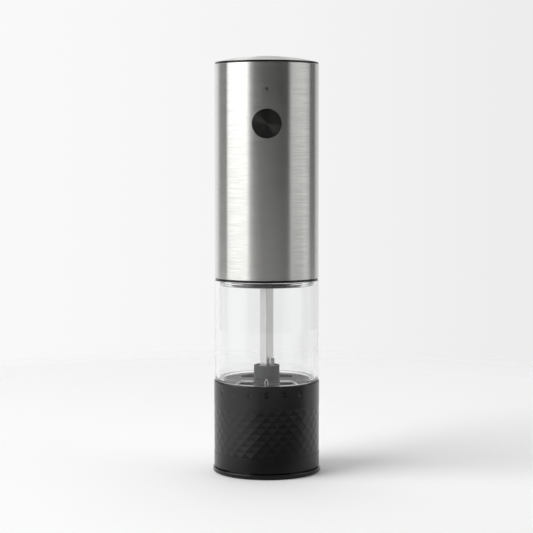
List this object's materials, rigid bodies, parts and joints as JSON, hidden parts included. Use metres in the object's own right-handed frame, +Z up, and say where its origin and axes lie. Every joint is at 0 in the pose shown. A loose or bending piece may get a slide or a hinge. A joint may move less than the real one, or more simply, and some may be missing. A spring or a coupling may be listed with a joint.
{
  "type": "electric spice grinder",
  "caption": "Upright battery spice grinder: brushed steel head with push button, clear hopper tube with square drive shaft, faceted black grip and base cap.",
  "frame": {"origin": "middle of the base cap's underside", "axes": "+Z up along the grinder's axis, the button and the setting marks face -Y"},
  "size_m": [0.054, 0.054, 0.2074],
  "materials": {
    "clear_plastic": "clear, polished",
    "feed_grey": "satin moulded plastic",
    "inner_black": "moulded plastic",
    "ceramic": "fired, unglazed",
    "hardware_steel": "bright",
    "bronze": "turned",
    "shaft_aluminium": "satin drawn bar",
    "grip_black": "matt, fine moulded texture",
    "gloss_black": "glossy moulded plastic",
    "sleeve_steel": "brushed round the body",
    "dome_steel": "satin",
    "seal_rubber": "soft silicone",
    "gear_plastic": "natural moulded plastic",
    "motor_steel": "zinc plated",
    "magnet": "sintered",
    "copper": "enamelled copper wire",
    "cell_wrap": "shrink wrapped cell",
    "board_green": "solder mask",
    "switch_black": "moulded",
    "switch_white": "moulded",
    "light_clear": "clear",
    "wire_red": "wire cover",
    "button_black": "black anodised, spun face"
  },
  "bodies": {
    "hopper": {"hopper_tube": "clear_plastic", "feed_plate": "feed_grey", "burr_housing": "inner_black", "outer_burr": "ceramic", "housing_screws": "hardware_steel", "return_spring": "hardware_steel"},
    "lift_bridge": {"lift_bridge": "inner_black", "thrust_washer": "bronze"},
    "shaft": {"drive_shaft": "shaft_aluminium", "shaft_socket": "feed_grey", "inner_burr": "ceramic", "shaft_nut": "hardware_steel"},
    "grip": {"grip_shell": "grip_black", "cam_ring": "inner_black"},
    "base_cap": {"base_cap": "gloss_black"},
    "head": {"steel_sleeve": "sleeve_steel", "top_cap": "dome_steel", "top_ring": "gloss_black", "head_base": "gloss_black", "head_seal": "seal_rubber", "chassis_front": "inner_black", "chassis_rear": "inner_black", "chassis_screws": "hardware_steel", "gear_cover": "inner_black", "ring_gear": "gear_plastic", "motor_plate": "motor_steel", "gearbox_screws": "hardware_steel", "motor_can": "motor_steel", "motor_screws": "hardware_steel", "motor_magnets": "magnet", "motor_end_cap": "inner_black", "motor_terminals": "bronze", "battery_cell": "cell_wrap", "battery_tabs": "hardware_steel", "main_board": "board_green", "switch_body": "switch_black", "status_light": "light_clear", "light_guide": "light_clear", "charging_board": "board_green", "charging_socket": "hardware_steel", "wiring": "wire_red"},
    "button": {"push_button": "button_black", "switch_plunger": "switch_white"},
    "rotor": {"motor_shaft": "hardware_steel", "armature": "motor_steel", "windings": "copper", "commutator": "bronze", "motor_pinion": "bronze"},
    "stage1_carrier": {"stage1_carrier": "gear_plastic", "stage1_axles": "hardware_steel"},
    "output_carrier": {"output_carrier": "inner_black", "output_axles": "hardware_steel"},
    "stage1_planet_1": {"stage1_planet_1": "gear_plastic"},
    "stage1_planet_2": {"stage1_planet_2": "gear_plastic"},
    "stage1_planet_3": {"stage1_planet_3": "gear_plastic"},
    "stage2_planet_1": {"stage2_planet_1": "gear_plastic"},
    "stage2_planet_2": {"stage2_planet_2": "gear_plastic"},
    "stage2_planet_3": {"stage2_planet_3": "gear_plastic"}
  },
  "joints": [
    {"name": "head_lift", "type": "slide", "parent": "hopper", "child": "head", "axis": [0, 0, 1], "range_m": [0, 0.12]},
    {"name": "grind_adjust", "type": "hinge", "parent": "hopper", "child": "grip", "pos_m": [0, 0, 0.035], "axis": [0, 0, 1], "range_deg": [-38, 57]},
    {"name": "bridge_lift", "type": "slide", "parent": "hopper", "child": "lift_bridge", "axis": [0, 0, 1], "range_m": [-0.00031, 0.00046], "deforming": ["return_spring"]},
    {"name": "shaft_spin", "type": "hinge", "parent": "lift_bridge", "child": "shaft", "pos_m": [0, 0, 0.06], "axis": [0, 0, 1], "continuous": true},
    {"name": "output_spin", "type": "hinge", "parent": "head", "child": "output_carrier", "pos_m": [0, 0, 0.1], "axis": [0, 0, 1], "continuous": true},
    {"name": "stage1_spin", "type": "hinge", "parent": "head", "child": "stage1_carrier", "pos_m": [0, 0, 0.11], "axis": [0, 0, 1], "continuous": true},
    {"name": "motor_spin", "type": "hinge", "parent": "head", "child": "rotor", "pos_m": [0, 0, 0.13], "axis": [0, 0, 1], "continuous": true},
    {"name": "stage2_planet_1_spin", "type": "hinge", "parent": "output_carrier", "child": "stage2_planet_1", "pos_m": [0.0075, 0, 0.107], "axis": [0, 0, 1], "continuous": true},
    {"name": "stage2_planet_2_spin", "type": "hinge", "parent": "output_carrier", "child": "stage2_planet_2", "pos_m": [-0.00375, 0.0065, 0.107], "axis": [0, 0, 1], "continuous": true},
    {"name": "stage2_planet_3_spin", "type": "hinge", "parent": "output_carrier", "child": "stage2_planet_3", "pos_m": [-0.00375, -0.0065, 0.107], "axis": [0, 0, 1], "continuous": true},
    {"name": "stage1_planet_1_spin", "type": "hinge", "parent": "stage1_carrier", "child": "stage1_planet_1", "pos_m": [0.0075, 0, 0.115], "axis": [0, 0, 1], "continuous": true},
    {"name": "stage1_planet_2_spin", "type": "hinge", "parent": "stage1_carrier", "child": "stage1_planet_2", "pos_m": [-0.00375, 0.0065, 0.115], "axis": [0, 0, 1], "continuous": true},
    {"name": "stage1_planet_3_spin", "type": "hinge", "parent": "stage1_carrier", "child": "stage1_planet_3", "pos_m": [-0.00375, -0.0065, 0.115], "axis": [0, 0, 1], "continuous": true},
    {"name": "button_press", "type": "slide", "parent": "head", "child": "button", "axis": [0, 1, 0], "range_m": [0, 0.0006], "stiffness_N_per_m": 1500},
    {"name": "base_cap_pull", "type": "slide", "parent": "grip", "child": "base_cap", "axis": [0, 0, -1], "range_m": [0, 0.03]}
  ],
  "couplings": [
    {"joint": "bridge_lift", "follows": "grind_adjust", "m_per_rad": 0.00045233},
    {"joint": "shaft_spin", "follows": "motor_spin", "ratio": 0.04},
    {"joint": "output_spin", "follows": "motor_spin", "ratio": 0.04},
    {"joint": "stage1_spin", "follows": "motor_spin", "ratio": 0.2},
    {"joint": "stage2_planet_1_spin", "follows": "motor_spin", "ratio": -0.10667},
    {"joint": "stage2_planet_2_spin", "follows": "motor_spin", "ratio": -0.10667},
    {"joint": "stage2_planet_3_spin", "follows": "motor_spin", "ratio": -0.10667},
    {"joint": "stage1_planet_1_spin", "follows": "motor_spin", "ratio": -0.53333},
    {"joint": "stage1_planet_2_spin", "follows": "motor_spin", "ratio": -0.53333},
    {"joint": "stage1_planet_3_spin", "follows": "motor_spin", "ratio": -0.53333}
  ]
}
